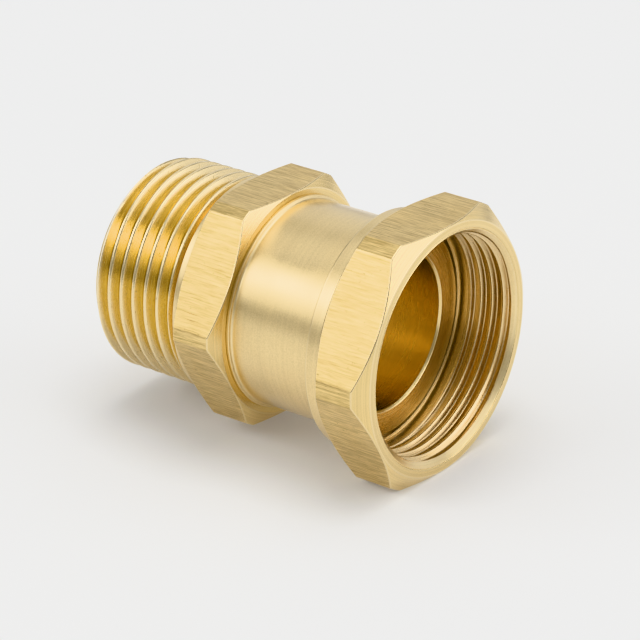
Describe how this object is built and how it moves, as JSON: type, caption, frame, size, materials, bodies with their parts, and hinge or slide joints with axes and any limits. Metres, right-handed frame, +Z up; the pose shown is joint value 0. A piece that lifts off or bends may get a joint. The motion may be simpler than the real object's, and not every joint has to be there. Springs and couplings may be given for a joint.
{
  "type": "pipe union",
  "caption": "Brass pipe union: threaded male end with a hex, a smooth barrel, and a captive hexagon union nut that swivels and slides back on the barrel.",
  "frame": {"origin": "centre of the bounding box, on the flow axis", "axes": "+X along the flow axis towards the open mouth of the union nut; +Z up, square to one pair of flats on both hexes"},
  "size_m": [0.0542, 0.0436, 0.039],
  "materials": {
    "male_end_brass": "turned and milled, lightly brushed",
    "barrel_brass": "fine turned, satin",
    "nut_brass": "turned and milled, lightly brushed",
    "o_ring_rubber": "moulded",
    "retaining_ring_steel": "bright",
    "slip_washer_ptfe": "cut"
  },
  "bodies": {
    "tail": {"male_end_body": "male_end_brass", "barrel_tube": "barrel_brass", "barrel_joint_o_ring": "o_ring_rubber"},
    "split_ring": {"nut_retaining_ring": "retaining_ring_steel"},
    "slip_washer": {"nut_slip_washer": "slip_washer_ptfe"},
    "nut": {"union_nut": "nut_brass"}
  },
  "joints": [
    {"name": "nut_slide", "type": "slide", "parent": "tail", "child": "slip_washer", "axis": [-1, 0, 0], "range_m": [0, 0.0139]},
    {"name": "nut_swivel", "type": "hinge", "parent": "slip_washer", "child": "nut", "pos_m": [0.02095, 0, 0], "axis": [1, 0, 0], "continuous": true},
    {"name": "split_ring_turn", "type": "hinge", "parent": "tail", "child": "split_ring", "pos_m": [0.0163, 0, 0], "axis": [1, 0, 0], "continuous": true}
  ]
}
